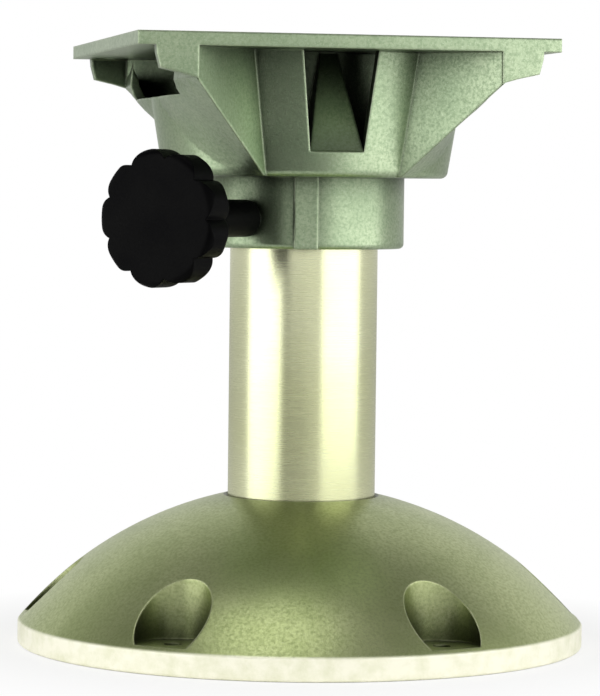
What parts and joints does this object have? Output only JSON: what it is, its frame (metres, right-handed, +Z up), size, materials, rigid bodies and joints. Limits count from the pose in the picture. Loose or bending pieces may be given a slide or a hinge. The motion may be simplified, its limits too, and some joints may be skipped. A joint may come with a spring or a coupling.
{
  "type": "table pedestal",
  "caption": "Short table pedestal: round cast dome foot, tube post and a square cast swivel head with a lobed clamp knob.",
  "frame": {"origin": "centre of the foot's underside, on the post's axis", "axes": "+Z up along the post, -Y out of the square head's front face, knob towards -X -Y"},
  "size_m": [0.23, 0.23, 0.244],
  "materials": {
    "cast_metal": "satin cast",
    "tube_metal": "polished",
    "screw_steel": "blackened",
    "bearing_plastic": "plain",
    "bright_steel": "bright",
    "head_paint": "painted, slightly grained",
    "knob_plastic": "satin black",
    "pad_brass": "plain"
  },
  "bodies": {
    "foot": {"base_casting": "cast_metal", "post_tube": "tube_metal", "post_grub_screws": "screw_steel", "post_cap": "bearing_plastic", "thrust_washer": "bright_steel"},
    "head": {"head_casting": "head_paint", "lower_bush": "bearing_plastic", "upper_bush": "bearing_plastic"},
    "pad": {"clamp_pad": "pad_brass"},
    "knob": {"knob_body": "knob_plastic", "knob_stud": "bright_steel"}
  },
  "joints": [
    {"name": "head_swivel", "type": "hinge", "parent": "foot", "child": "head", "pos_m": [0, 0, 0.2], "axis": [0, 0, 1], "continuous": true},
    {"name": "pad_slide", "type": "slide", "parent": "head", "child": "pad", "axis": [-0.7071, -0.7071, 0], "range_m": [0, 0.006]},
    {"name": "knob_turn", "type": "hinge", "parent": "pad", "child": "knob", "pos_m": [-0.04243, -0.04243, 0.173], "axis": [-0.7071, -0.7071, 0], "range_deg": [0, 1440]}
  ],
  "couplings": [
    {"joint": "knob_turn", "follows": "pad_slide", "rad_per_m": 4188.8}
  ]
}
